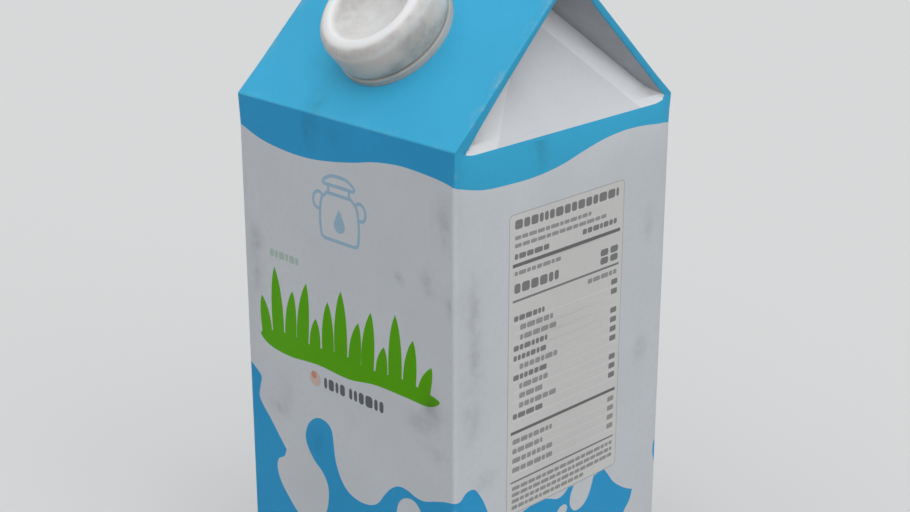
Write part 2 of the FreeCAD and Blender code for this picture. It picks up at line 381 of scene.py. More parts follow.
def splash():
    """The upper edge of the blue that covers the foot of the carton."""
    front = [
        [(-47.5, -89.5), (-44.3, -91.4), (-41.4, -93.8), (-42.2, -97.5), (-42.8, -101.2), (-41, -104),
         (-37.3, -107.7), (-33.5, -112), (-29.7, -116.2)],
        [(-31, -119), (-34, -121), (-34.8, -124.4), (-33.2, -128.8), (-29.6, -133), (-24.6, -137.4),
         (-18.5, -139.8), (-13.6, -137.6), (-10.6, -132), (-9.2, -126.6), (-9.4, -121.7), (-11.8, -118),
         (-15.8, -115), (-19, -110.8), (-19.6, -106.8), (-17.6, -102.4), (-13.8, -99.6), (-9.6, -99.4),
         (-6.8, -101.6), (-6, -106.4), (-5.3, -111.4), (-3.1, -116.8), (0.4, -120.4), (5.2, -121.8),
         (10.2, -121.4), (14.2, -119.3), (17.2, -115.4), (20.2, -112.1), (23.6, -110.1), (27.3, -110),
         (31, -111), (34.6, -111.1), (39.2, -109.5), (43.5, -108.1)],
    ]
    right = [
        [(-47.5, -107.4), (-45.2, -107.3), (-42.8, -105.3), (-39.6, -105.3), (-37.2, -108.1), (-35.2, -111.7),
         (-33.4, -115.8), (-30.4, -120), (-26, -122.2), (-21.8, -121.8), (-18.4, -120.4), (-12, -119.4),
         (-7.6, -120), (-3, -121.8), (0, -121.4), (2.4, -119.7)],
        [(5, -120)],
        [(3.5, -123), (3.4, -126.4), (5.6, -129.2), (9.3, -129), (12.2, -126.4), (13.9, -122.6),
         (14.7, -120.2)],
        [(19.7, -119.3)],
        [(22, -122.2), (25.2, -126.2), (30.5, -130.2), (35.3, -132.6)],
        [(34, -136.2), (31, -139.6), (30.2, -144), (33, -149), (39, -151.4)],
    ]
    back = [
        [(-47.5, -148), (-42, -143), (-38, -136), (-33, -130), (-27, -126.6), (-21, -127), (-16, -130),
         (-12, -135.5), (-8, -139), (-3, -139.6), (1, -136), (2.6, -130), (2.2, -124.4), (4.4, -118.6),
         (8.6, -115.8), (13, -117), (15.2, -121.4), (14.6, -127), (16.6, -132.6), (21, -135.6), (26, -133.6),
         (29, -128), (32.4, -121), (37, -115.4), (42.5, -112.6)],
    ]
    left = [
        [(-47.5, -112.8), (-42, -116), (-38.6, -121.6), (-34.2, -127.2), (-28.4, -129.6), (-23, -127.2),
         (-19.4, -121.4), (-16, -113.6), (-11, -107.6), (-5.6, -107.4), (-2.4, -111.8), (-2.2, -118),
         (0.6, -123.6), (6, -126), (12, -123.6), (16, -117.6)],
        [(20.6, -120), (26, -119.6), (30.6, -115.4), (34.6, -109), (39, -101.6), (43.2, -94)],
    ]
    parts = [[]]
    for wall, lines in enumerate((front, right, back, left)):
        first, *others = [on_wall(wall, points) for points in lines]
        parts[-1] += first
        parts += others
    parts[-1].append((AROUND, parts[0][0][1]))
    return runs(*parts) + [(AROUND, -OVER), (0, -OVER)]


def splash_drops():
    """White drops in the blue, and blue ones in the white."""
    drops = [
        ("white", FRONT, loop([(22.6, -119.4), (23.8, -115.4), (26.6, -113), (30.4, -112.7), (33.2, -115.4),
                               (33.4, -119.4), (30.6, -122.6), (26.6, -123.2), (23.6, -121.8)])),
        ("white", RIGHT, oval(-0.4, -127, 2.5, 1.9, 0.3)),
        ("blue", BACK, loop([(-48.8, -118.6), (-46, -119.6), (-43.6, -123), (-44.6, -127), (-47.4, -127.4),
                             (-49.2, -123.6)])),
        ("white", BACK, oval(-24.5, -137, 4.2, 2.6, 0.5)), ("white", BACK, oval(34, -131, 2.6, 3.8, -0.4)),
        ("blue", BACK, oval(9.6, -108.6, 2.2, 2.9, 0.2)), ("white", LEFT, oval(-8.4, -117.6, 2.6, 4.4, -0.2)),
        ("blue", LEFT, oval(24.6, -111.4, 2.9, 2.2, 0.5)),
    ]
    return [(ink, on_wall(wall, outline)) for ink, wall, outline in drops]


def churn(wall, x, z, size):
    """A milk churn drawn in a pale blue line, with a drop on it. size is its height."""
    line = 0.05  # the line's width
    body = mirrored(runs([(0, 0), (0.3, 0)], [(0.38, 0.03), (0.41, 0.1)], [(0.425, 0.3), (0.41, 0.5)],
                         [(0.37, 0.62), (0.25, 0.72)], [(0, 0.72)], step=0.03)[:-1])
    neck = mirrored(runs([(0, 0.67), (0.26, 0.67)], [(0.235, 0.76), (0.26, 0.86)], [(0, 0.86)],
                         step=0.03)[:-1])
    lid = mirrored(runs([(0, 0.79), (0.31, 0.79)], [(0.35, 0.84), (0.31, 0.9)], [(0.17, 0.97), (0, 0.985)],
                        step=0.03))
    handle = oval(0.43, 0.55, 0.13, 0.15, 0.3)
    drop = mirrored(runs([(0, 0.15), (0.08, 0.18), (0.115, 0.26), (0.08, 0.36)], [(0, 0.5)], step=0.03))
    shapes = []
    for outline in (handle, [(-px, pz) for px, pz in handle[::-1]], neck, body, lid):
        shapes += [("pale_blue", outline), ("white", inset(outline, line))]
    shapes.append(("pale_blue", drop))
    return [(ink, on_wall(wall, outline, x, z, size)) for ink, outline in shapes]


def grass(wall, x, z, scale):
    """A row of broad green blades on a low bank."""
    blades = [  # foot, lean, height, width
        (-37, -2, 14, 5), (-31.2, -1, 25.4, 5.6), (-25.2, 1.6, 19.4, 5.4), (-19.4, 2.6, 23.8, 5.6),
        (-13.4, 0.8, 13.2, 5), (-7.2, 0.4, 20.4, 5.4), (-1.2, 0.6, 25.6, 5.8), (4.9, 2.2, 17.4, 5.4),
        (10.8, 2, 22.4, 5.6), (16.9, 1.4, 12.8, 5), (23, 0.4, 24.6, 5.6), (29, 1.8, 18.6, 5.4),
        (34.8, 3.6, 12.2, 5),
    ]
    shapes = [blade(*numbers) for numbers in blades]
    shapes.append(loop([(-40.4, 0.6), (-35, 3.0), (-26, 4.2), (-14, 3.6), (-1, 4.8), (12, 3.8), (26, 4.8),
                        (36, 3.8), (41.8, 2.2), (37, -0.6), (27, -0.6), (14, -0.8), (2, -2.6), (-12, -2.2),
                        (-26, -3.4), (-36, -2.4)]))
    return [("green", on_wall(wall, outline, x, z, scale)) for outline in shapes]


def words(wall, x, end, z, height, ink, rng, longest):
    """A line of text from x to end, shown as plain rounded bars."""
    art = []
    shortest = 1.0
    while x < end - shortest:
        stop = min(x + rng.uniform(0.35, 1.0) * longest, end)
        art.append((ink, on_wall(wall, bar(x, z, stop, z + height, height * 0.25))))
        x = stop + max(0.4, height * 0.2)
    return art


def facts_table(wall, rng):
    """A ruled table of plain bars on a grey-white ground."""
    left, right = -23.6, 23.4
    outer_left, outer_right, low, high = -26, 25.6, -119.8, -23
    line = 0.3
    art = []

    def put(ink, *sizes):
        art.append((ink, on_wall(wall, bar(*sizes))))

    def text(x0, x1, z, height, ink="table_text", longest=3.6):
        art.extend(words(wall, x0, x1, z, height, ink, rng, longest))

    put("table_line", outer_left, low, outer_right, high, 1.6)
    put("table_ground", outer_left + line, low + line, outer_right - line, high - line, 1.3)
    text(left, right - 0.6, -27.8, 2.8, "table_bold", 4.2)
    text(left, 11, -31, 1.2)
    text(left, 17, -33.4, 1.2)
    text(left, -9, -37, 1.7, "table_bold")
    text(6, right, -36.4, 1.7, "table_bold")
    put("table_rule", left - 0.8, -39.4, right + 0.6, -38.3)
    text(left, -3, -42, 1.3)
    text(left, -4.5, -47.6, 3, "table_bold")
    for x in (14.8, 19.5):
        for z in (-48.4, -45.7):
            put("table_bold", x, z, x + 3.7, z + 2.2, 0.7)
    put("table_bold", left - 0.6, -50.3, right + 0.4, -49.6)
    text(9, right, -53, 1.5)
    pitch = 3.15
    for row in range(11):
        z = -56.4 - pitch * row
        x, ink = (left, "table_bold") if row in (0, 3, 4, 6, 10) else (left + 2.6, "table_text")
        text(x, x + rng.uniform(11, 20), z, 1.7, ink)
        put("table_gap", left, z - 0.85, right, z - 0.5)
        if row not in (2, 7):
            put("table_bold", right - 3, z, right, z + 1.8, 0.4)
    put("table_rule", left - 0.8, -92.9, right + 0.6, -91.9)
    for row in range(4):
        z = -96.2 - pitch * row
        text(left, left + rng.uniform(11, 19), z, 1.6)
        put("table_gap", left, z - 0.9, right, z - 0.55)
        put("table_text", right - 3, z, right, z + 1.7, 0.4)
    put("table_bold", left - 0.6, -109.2, right + 0.4, -108.6)
    for row in range(4):
        text(left, right - (14 if row == 3 else 0), -111.7 - 2.15 * row, 1.25)
    return art


def end_fold(above):
    """The line of an end's fold, or one a little above it, from left to right."""
    steps = np.array([0, 0.05, 0.1, 0.15, DROP_STEP, 1.0, 2.0, 3.2, DROP_FROM - DROP_TO])
    half = [(across, above - float(end_drop(across))) for across in DROP_FROM - steps]
    return [(-across, z) for across, z in half] + half[::-1]


def gable_foot(end, front_side):
    """The white of an end and its strips, both painted lighter as painted light, from its fold up past the
    eave. front_side is -1 (left) or 1.
    """
    outward = [(x, z) for x, z in end_fold(0) if 0 < x < DROP_FROM - DROP_STEP + TINY]
    white, strips = [(-x, z) for x, z in outward[::-1]] + outward, []
    for side in (1, -1):
        front = side == front_side
        tip = (side * (WHITE_TIP_FRONT if front else WHITE_TIP_BACK), OVER)
        foot = float(inner_depth(EAVE, front)) - STRIP_FOOT
        low, high = ((side * (foot - z * HALF / RISE), z) for z in (-END_DROP, OVER))
        strips.append(("strip_white_painted_lit", on_wall(end, [low, *((side * x, z) for x, z in outward), tip, high])))
        white.append(tip)
    return [("end_white_painted_lit", on_wall(end, white))] + strips


def print_areas():
    """All areas of ink as (ink, outline), each drawn over the ones before it."""
    rng = random.Random(RANDOM_SEED)
    art = [("blue", header_wave()), ("blue", splash())]
    art += splash_drops()
    for wall in (FRONT, BACK):
        art += churn(wall, -0.8, -38.2, 21.8)
        art += grass(wall, -0.4, -78.8, 1.0)
        art += words(wall, -34.4, -20.6, -50.2, 2.5, "pale_green", rng, 3.4)
        art.append(("pale_orange", on_wall(wall, oval(-14, -86, 2.6, 2.6))))
        art.append(("orange", on_wall(wall, oval(-14.6, -84.9, 1.2, 1.2))))
        for x0, x1 in ((-9.8, 0.1), (1.9, 17.4)):
            art += words(wall, x0, x1, -88.0, 3.8, "dark", rng, 3.6)
    art += facts_table(RIGHT, rng)
    art += churn(LEFT, 0, -40, 22)
    art += grass(LEFT, 0, -62, 0.5)
    for row in range(7):
        art += words(LEFT, -30, 30 - 4 * (row % 3), -70 - 4.2 * row, 1.3, "table_text", rng, 8)
    art += gable_foot(RIGHT, -1) + gable_foot(LEFT, 1)
    art.append(("raw_board", bar(SEAM, -OVER, SEAM + SEAM_EDGE, EAVE + OVER)))
    return art


def inside(outline, points):
    """Whether each point lies in the outline."""
    ends = np.array(outline)
    (x0, z0), (x1, z1) = np.roll(ends, 1, axis=0).T, ends.T
    hit = np.zeros(len(points), bool)
    close = np.all((points >= ends.min(0)) & (points <= ends.max(0)), axis=1)
    x, z = points[close].T[..., None]
    crossing = x0 + (z - z0) / np.where(z0 == z1, 1.0, z1 - z0) * (x1 - x0)
    hit[close] = np.sum(((z0 > z) != (z1 > z)) & (x < crossing), axis=1) % 2 == 1
    return hit


# -------- marks

MARKS = {  # x, z, half width, half height, strength
    FRONT: [(-13.4, -5.5, 2.6, 5, 1), (-2.6, -7, 3.4, 4.6, 0.5), (-41.4, -46.8, 2.6, 4.5, 0.9),
            (-41.5, -59.3, 2.2, 6, 0.6), (36.5, -41.3, 3.2, 4, 0.6), (24.5, -42.2, 1.2, 1, 0.9),
            (43.4, -21.6, 3, 6, 0.8), (45.6, -46.2, 1.4, 2.4, 0.8), (-29.2, -95.6, 3, 5, 0.6),
            (-33.1, -102, 3.6, 2.2, 0.7), (37.5, -80, 4, 6, 0.8), (32, -86, 5, 3, 0.5),
            (2.2, -94.7, 1.6, 1.4, 0.6), (41, -94.5, 6, 1.6, 0.6), (-13.5, -108, 5, 6, 0.5),
            (20, -160, 8, 5, 0.5)],
    RIGHT: [(-40.3, -47, 2.4, 9, 0.7), (-39.2, -63.7, 2.6, 10, 0.7), (-12.8, -5.3, 2.6, 4.6, 0.9),
            (38.1, -41.1, 2, 5, 0.5), (36, -82, 3, 6, 0.5), (-36, -103.5, 4, 3, 0.6),
            (-40.8, -82.2, 3, 9, 0.5), (-20, -168, 9, 4, 0.5)],
    BACK: [(30, -30, 4, 6, 0.7), (-38, -74, 3, 8, 0.6), (8, -150, 8, 5, 0.5), (-12, -6, 2.6, 4.6, 0.8)],
    LEFT: [(35, -60, 3, 10, 0.6), (-37, -20, 3, 5, 0.7), (10, -140, 9, 4, 0.5)],
}


def wall_soil(s, z):
    """How soiled the walls are: smudges listed one by one, and more toward the foot and the corners."""
    soil_and_shade = 0.35 * np.exp(-z / 8) + 0.12 * np.exp(-from_corner(s) / 2.5)
    for wall, marks in MARKS.items():
        for x, height, rx, rz, strength in marks:
            dx = (s - (wall * WIDTH + HALF + x)) / rx
            dz = (z - EAVE - height) / rz
            soil_and_shade = soil_and_shade + strength * np.exp(-dx ** 2 - dz ** 2)
    return np.clip(soil_and_shade, 0, 1)


# -------- the board

BASE_ROWS = (0.12, 0.35, 0.6, BASE_ROUND)  # heights of the mesh's rows round the base's fold
FRONT_PANEL = 3.1  # thickness of the front roof panel at its ends, at the eave
FRONT_GAPE = 0.8  # it gapes by this much more right at the eave
GAPE_FADE = 8.0  # how fast that closes up
BACK_PANEL = 2.5  # thickness of the back one
UNDER_CELLS = 7  # mesh cells across the part of a panel's underside that shows at each end
PRESS_LINES = (0.30, 0.46, 0.62)  # places of the lines pressed into the fin, as parts of its height
PRESS_DEPTH = 0.16


def add_walls(sheet):
    """The four walls as one strip, cut along every edge of the print."""
    top = EAVE - CREASE
    points, edges = [], []

    def line(path, closed=False):
        start, count = len(points), len(path)
        points.extend(path)
        for i in range(count if closed else count - 1):
            edges.append((start + i, start + (i + 1) % count))

    art = print_areas()
    for ink, outline in art:
        line(outline, closed=True)
    columns = [float(s) for s in np.linspace(0, AROUND, int(AROUND / GRID) + 1)]
    line([(0, 0), (AROUND, 0)] + [(s, top) for s in columns[::-1]], closed=True)
    for z in BASE_ROWS:
        line([(0, z), (AROUND, z)])
    for end in (RIGHT, LEFT):
        for part in np.linspace(-1, 1, 5):
            line(on_wall(end, end_fold(part * CREASE)))
    for corner in range(5):
        for s in corner * WIDTH + np.linspace(-1, 1, 9) * CORNER:
            if 0 < s < AROUND:
                line([(s, 0), (s, top)])
    for s in columns[1:-1]:
        for z in np.linspace(BASE_ROUND, top, int(EAVE / GRID) + 1)[1:-1]:
            points.append((s, float(z)))
    cut = delaunay_2d_cdt([Vector(p) for p in points], edges, [], 0, 1e-4, False)
    flat = np.array([p[:] for p in cut[0]])
    triangles = np.array(cut[2])
    centres = flat[triangles].mean(axis=1)
    kept = np.all((centres > 0) & (centres < (AROUND, top)), axis=1)
    triangles, centres = triangles[kept], centres[kept]
    inks = np.full(len(triangles), "white", dtype=object)
    for ink, outline in art:
        inks[inside(outline, centres)] = ink
    on_end = wall_of(centres[:, 0])[0] % 2 == 1
    # Near the eave the ends' blue is the roof's lighter blue, as painted light.
    inks[(inks == "blue") & on_end & (centres[:, 1] > EAVE - HEADER)] = "blue_painted_lit"
    s = np.clip(flat[:, 0], 0, AROUND - TINY)
    z = np.clip(flat[:, 1], 0, EAVE)
    wear_and_counter_tint = np.exp(-(from_corner(s) / 0.9) ** 2)
    sheet.add(wall_point(s, z), wall_normal(s, z), triangles.tolist(), inks, wall_soil(s, z), wear_and_counter_tint)


def panel_thickness(z, front):
    """A roof panel's thickness at its ends: two layers that lie loosely together and close up at the top."""
    part = np.clip((z - EAVE) / GABLE_TOP, 0, 1)
    if front:
        gape = FRONT_GAPE * np.exp(-np.maximum(z - EAVE, 0) / GAPE_FADE)
        return FRONT_PANEL + (PEAK_THICKNESS - FRONT_PANEL) * part + gape
    return BACK_PANEL + (PEAK_THICKNESS - BACK_PANEL) * smoothstep(0.7, 1.0, part)


def inner_depth(z, front):
    """Distance of a roof panel's underside from the middle of the carton, at height z."""
    least = 0.03
    depth = HALF * (1 - np.maximum(z - EAVE, 0) / RISE) - panel_thickness(z, front) / math.sin(SLOPE)
    return np.where(z < EAVE + GABLE_TOP - TINY, np.maximum(depth, least), least)


def roof_profile():
    """Outer distance from the middle and height of each row of a roof panel, from the eave up the fin."""
    run = math.cos(SLOPE)
    climb = math.sin(SLOPE)
    root = EAVE + RISE * (1 - FIN_HALF / HALF)
    start = root + FIN_CREASE
    fold = bend((HALF, EAVE - CREASE), (HALF, EAVE), (HALF - CREASE * run, EAVE + CREASE * climb), 6)
    parts = np.linspace(CREASE / SLANT, GABLE_TOP / RISE, 22)[1:]
    slope = np.stack([HALF * (1 - parts), EAVE + RISE * parts], axis=-1)
    turn = bend((FIN_HALF + FIN_CREASE * run, root - FIN_CREASE * climb),
                (FIN_HALF, root), (FIN_HALF, start), 6)
    fin = []
    for z in np.linspace(start, TOP - FIN_EDGE, 34)[1:]:
        part = (z - start) / (TOP - start)
        press = sum(PRESS_DEPTH * math.exp(-((part - line) / 0.035) ** 2) for line in PRESS_LINES)
        fin.append((FIN_HALF - press, z))
    fin += [(FIN_HALF - 0.05, TOP - 0.04), (FIN_HALF - FIN_EDGE, TOP)]
    return np.concatenate([fold, slope, turn, fin])


def edge_inks(grid, outer, edge_ink, middle_ink):
    """The inks of a grid's cells, row by row, where the outer cells on both sides have their own."""
    rows, columns = grid.shape[:2]
    edge = [edge_ink] * outer
    return (edge + [middle_ink] * (columns - 1 - 2 * outer) + edge) * (rows - 1)


def add_roof_panel(sheet, front):
    """One roof panel with its folded ends, its underside at both ends and its half of the fin."""
    outer, z = roof_profile().T
    height = z - EAVE
    inner = inner_depth(z, front)
    gable_height = np.minimum(height, GABLE_TOP)
    reach = HALF - gable_lean(gable_height, inner) - gable_setback(gable_height)
    end = outer - inner
    round_top = np.minimum(EAVE_CORNER + (END_ROUND - EAVE_CORNER) * smoothstep(0, 8, height), 0.45 * end)
    round_low = np.minimum(0.4, np.minimum(0.3 * end, 0.5 * (HALF - reach)))
    belly = 0.25 * np.sin(np.pi * np.clip(height / RISE, 0, 1))
    rim = 0.3 * np.exp(-np.abs(height) / 0.35)
    columns = []

    def column(x, depth, soil_and_shade=0.0, wear_and_counter_tint=0.0):
        columns.append([value + 0 * z for value in (x, depth, soil_and_shade, wear_and_counter_tint)])

    # From the gable end out along the underside, round the folded end and over the panel's outside.
    # The underside and its fold round to the end are painted darker here, as painted shade under the panel.
    for part in np.linspace(0, 1, UNDER_CELLS + 1):
        column(reach + (HALF - round_low - reach) * part, inner, 0.25)
    for angle in np.linspace(0, math.pi / 2, 4)[1:]:
        column(HALF - round_low * (1 - math.sin(angle)), inner + round_low * (1 - math.cos(angle)), 0.25)
    column(HALF, (inner + round_low + outer - round_top) / 2, 0.3)
    for angle in np.linspace(0, math.pi / 2, 6):
        column(HALF - round_top * (1 - math.cos(angle)), outer - round_top * (1 - math.sin(angle)), 0.15, 0.5)
    folded = len(columns)
    for x in np.arange(44, -44.1, -4.0):
        streak = 0.8 * math.exp(-((x + 13.4) / 2.8) ** 2) * np.exp(-np.abs(height - 2) / 4)
        column(x, outer + belly * math.cos(math.pi * x / WIDTH), streak, rim)
    for x, depth, soil_and_shade, wear_and_counter_tint in columns[folded - 1::-1]:
        column(-x, depth, soil_and_shade, wear_and_counter_tint)
    x, depth, soil_and_shade, wear_and_counter_tint = np.array(columns).transpose(1, 2, 0)
    points = np.stack([x, depth, z[:, None] + 0 * x], axis=-1)
    if front:
        points, soil_and_shade, wear_and_counter_tint = points[:, ::-1] * (1, -1, 1), soil_and_shade[:, ::-1], wear_and_counter_tint[:, ::-1]
    # The undersides take the underside ink, the white board painted darker as painted shade.
    sheet.add_grid(points, edge_inks(points, UNDER_CELLS, "underside", "blue_painted_lit"), soil_and_shade, wear_and_counter_tint)


def add_gable_end(sheet, end):
    """The white end between the roof panels: it leans in, painted lighter than the walls as painted light,
    with a strip beside each fold painted lighter still.
    """
    z = roof_profile()[:, 1]
    z = z[z < EAVE + GABLE_TOP + TINY][:, None]
    height = z - EAVE
    front, back = inner_depth(z, True), inner_depth(z, False)
    strip = np.concatenate([np.linspace(0, 0.9, 5), np.linspace(0.96, 1.04, 5)])
    bright_cells = int(np.sum(strip < 1 - TINY))
    halves = []
    for depth in (front, back):
        side = np.maximum(depth - STRIP_FOOT * strip, 0)
        halves.append(np.concatenate([side, side[:, -1:] * np.linspace(1, 0, 9)[1:]], axis=1))
    y = np.concatenate([-halves[0], halves[1][:, -2::-1]], axis=1)
    depth = np.where(y < 0, front, back)
    # How far across its strip a point lies, with the lines where the strips end and meet a little blunt.
    blunt, softness = 0.3, 0.03
    near = np.maximum((depth - np.sqrt(y ** 2 + blunt ** 2) + blunt) / STRIP_FOOT, 0)
    part = np.clip(0.5 * (1 + near - np.sqrt((1 - near) ** 2 + softness ** 2)), 0, 1)
    lean = HALF - gable_lean(height, np.abs(y))
    setback = gable_setback(height) * (1 - part)
    points, shading = (np.stack([lean - times * setback, y, z + 0 * y], axis=-1)
                       for times in (1, STRIP_SHADING))
    # The mask is darker toward the folds under the roof panels, as painted shade, and holds one smudge of
    # dirt.
    smudge = 0.45 * np.exp(-((y + 16) / 2.2) ** 2 - ((height - 17) / 7) ** 2)
    soil_and_shade = 0.1 * np.exp(np.abs(y) - depth) + smudge
    if end < 0:
        points, shading = (grid[:, ::-1] * (-1, 1, 1) for grid in (points, shading))
        soil_and_shade = soil_and_shade[:, ::-1]
    sheet.add_grid(points, edge_inks(points, bright_cells, "strip_white_painted_lit", "end_white_painted_lit"), soil_and_shade, shading=shading)


def add_fin_top(sheet):
    """The raw edge along the top of the fin: four layers of board with lines between them."""
    half = FIN_HALF - FIN_EDGE
    layer = 0.52
    across = np.array([0, 0.06, 0.2, 0.44, layer, 0.6, 0.8, 1]) * half
    across = np.concatenate([-across[:0:-1], across])
    drop = np.zeros(len(across))
    for line, deep in ((-layer * half, 0.08), (0, 0.25), (layer * half, 0.08)):
        drop += deep * np.exp(-((across - line) / 0.06) ** 2)
    along, across, drop = np.broadcast_arrays(np.linspace(-1, 1, 40), across[:, None], drop[:, None])
    points = np.stack([along * (HALF - 0.2), across, TOP - drop], axis=-1)
    sheet.add_grid(points, "raw_board", 0.3)


def add_base(sheet):
    """The folded base: a rim to stand on, and inside it two flaps, one lapped over the other."""
    rim_width, lap_y, lap_edge, flap, recess = 3.0, 14.0, 0.3, 0.6, 0.9
    inner = HALF - rim_width

    def relief(x, y):
        lap = flap * smoothstep(lap_y - lap_edge, lap_y + lap_edge, y)
        diagonal = np.minimum(np.abs(np.abs(x) - np.abs(y)) / 1.2, 1)
        folds = 0.25 * (1 - diagonal) * (np.abs(x) > np.abs(y))
        edge = smoothstep(inner, inner - 2.5, np.maximum(np.abs(x), np.abs(y)))
        return (recess + lap) * edge + folds * edge

    s = np.linspace(0, AROUND - TINY, 4 * 33)
    ring = wall_point(s, 0 * s)
    square = np.clip(ring * (1.5, 1.5, 0), -inner, inner)
    rows = [square * (1 - k) + ring * k for k in np.linspace(1, 0, 3)]
    sheet.add_grid(np.array(rows), "white", 0.5)
    marks = np.linspace(-inner, inner, 45)
    y_marks = np.sort(np.concatenate([marks, lap_y + np.linspace(-lap_edge, lap_edge, 5)]))
    x, y = np.meshgrid(marks, y_marks[::-1])
    sheet.add_grid(np.stack([x, y, relief(x, y)], axis=-1), "white", 0.3)


# -------- cap and collar

CAP_RADIUS = 19.1
CAP_HEIGHT = 15.3  # from the roof panel
CAP_BELOW_MIDDLE = 0.5  # how far down the panel from its middle the cap sits
COLLAR_RADIUS = 19.4
COLLAR_HEIGHT = 2.4
GROOVE = 0.6  # the gap between collar and cap
GROOVE_DEPTH = 0.8
GROOVE_ROUND = 0.5  # radius of its edges
CAP_FOOT = COLLAR_HEIGHT + GROOVE
RIM_ROUND = 4.4  # radius of the cap's outer rim
LIP_ROUND = 1.6  # radius from the rim down into the dish
DISH_SLOPE = 48  # how steep the dish is at its edge, in degrees
SEGMENTS = 144


def cap_profile():
    """The cap's section from its foot over the rim to the middle of the dish."""
    slope = math.radians(DISH_SLOPE)
    middle = CAP_RADIUS - RIM_ROUND
    rim_height, lip_height = CAP_HEIGHT - RIM_ROUND, CAP_HEIGHT - LIP_ROUND
    dish_radius = (middle - LIP_ROUND * math.sin(slope)) / math.sin(slope)
    dish_height = lip_height + (LIP_ROUND + dish_radius) * math.cos(slope)
    path = [(CAP_RADIUS - GROOVE_DEPTH, CAP_FOOT)]
    path += arc(CAP_RADIUS - GROOVE_ROUND, CAP_FOOT + GROOVE_ROUND, GROOVE_ROUND, -90, 0, 5)
    path += [(CAP_RADIUS, z) for z in np.linspace(CAP_FOOT + GROOVE_ROUND + 0.3, rim_height - 0.3, 9)]
    path += arc(middle, rim_height, RIM_ROUND, 0, 90, 16)
    path += arc(middle, lip_height, LIP_ROUND, 90, 90 + DISH_SLOPE, 10)[1:]
    path += arc(0, dish_height, dish_radius, 270 + DISH_SLOPE, 270, 26)[1:]
    return path


def collar_profile():
    """The collar's section from the roof panel to the neck inside the groove."""
    neck = CAP_RADIUS - GROOVE_DEPTH
    path = [(COLLAR_RADIUS + 0.1, 0.0), (COLLAR_RADIUS, 0.15)]
    path += arc(COLLAR_RADIUS - GROOVE_ROUND, COLLAR_HEIGHT - GROOVE_ROUND, GROOVE_ROUND, 0, 90, 5)
    return path + [(neck + 0.2, COLLAR_HEIGHT + 0.05), (neck, COLLAR_HEIGHT + 0.2), (neck, CAP_FOOT)]


def spout_place():
    """The spout's own axes, on the middle of the front roof panel."""
    up_slope = SLANT / 2 - CAP_BELOW_MIDDLE
    foot = Vector((0, -HALF + up_slope * math.cos(SLOPE), EAVE + up_slope * math.sin(SLOPE)))
    return Matrix.Translation(foot) @ Matrix.Rotation(SLOPE, 4, "X")


def turned(name, profile, dirt_and_shade_of, material):
    """A piece turned about the spout's axis. dirt_and_shade_of gives its dirt and painted shade at a radius,
    height and angle.
    """
    radius, height = np.array(profile).T[..., None]
    angle = np.linspace(0, 2 * np.pi, SEGMENTS, endpoint=False)[None]
    local = np.broadcast_arrays(radius * np.cos(angle), radius * np.sin(angle), height, 1.0)
    points = (np.stack(local, axis=-1) @ np.array(spout_place()).T)[..., :3]
    at = (radius, height, angle)
    sheet = Sheet()
    sheet.add_grid(points, name, dirt_and_shade_of(*at), skirt_tint_against_blue_light(*at), closed=True)
    return sheet.build(name, {name: material})


def near_angle(angle, middle, width):
    """1 at an angle round the spout's axis and less beside it; middle and width are in degrees."""
    turn = np.angle(np.exp(1j * (angle - math.radians(middle))))
    return np.exp(-(turn / math.radians(width)) ** 2)


def cap_dirt_and_shade(radius, height, angle):
    """Dirt and painted shade on the cap: a dark band at its foot, painted shade just below its rim's crest,
    scuffs on its rim, most at the right, and painted shade and a scuff in its dish.
    """
    above, below = np.maximum(height - CAP_FOOT, 0), CAP_HEIGHT - height
    right = near_angle(angle, -22, 45)
    foot = (0.3 + 1.5 * right) * np.exp(-(above / (1.1 + 1.6 * right)) ** 1.5)
    # The rim just below its crest is painted darker, as painted shade; scuffs of dirt run down its right.
    rim = np.maximum(smoothstep(4.2, 1.8, below), near_angle(angle, -12, 34))
    rim = 0.75 * smoothstep(0.15, 1.0, below) * rim
    x, y = radius * np.cos(angle), radius * np.sin(angle)
    # The dish is painted darker, most at its left, as painted shade; the scuff is dirt.
    dish = (0.4 + 0.35 * smoothstep(4, -12, x)) * smoothstep(14.2, 12.4, radius)
    scuff = 0.5 * np.exp(-((x - 6) / 1.2) ** 2 - ((y - 6.5) / 2.2) ** 2)
    return np.clip(np.where(radius > CAP_RADIUS - RIM_ROUND, foot + rim, dish + scuff), 0, 1)


def collar_dirt_and_shade(radius, height, angle):
    """Dirt on the collar, and painted shade on its top under the cap, which hides the light that top catches:
    thick at its top, thinner at its foot, least on the right.
    """
    clean = 0.5 + 0.5 * near_angle(angle, 14, 22)
    return np.clip(1 - clean * smoothstep(1.9, 0.9, height), 0, 1)


def skirt_tint_against_blue_light(radius, height, angle):
    """1 on the skirt, where the plastic is painted warmer to offset the blue light that the roof throws on
    it, fading to 0 over the rim.
    """
    outside = (radius > CAP_RADIUS - RIM_ROUND) + 0 * angle
    return outside * smoothstep(CAP_HEIGHT - 2.0, CAP_HEIGHT - 5.5, height)


# -------- materials

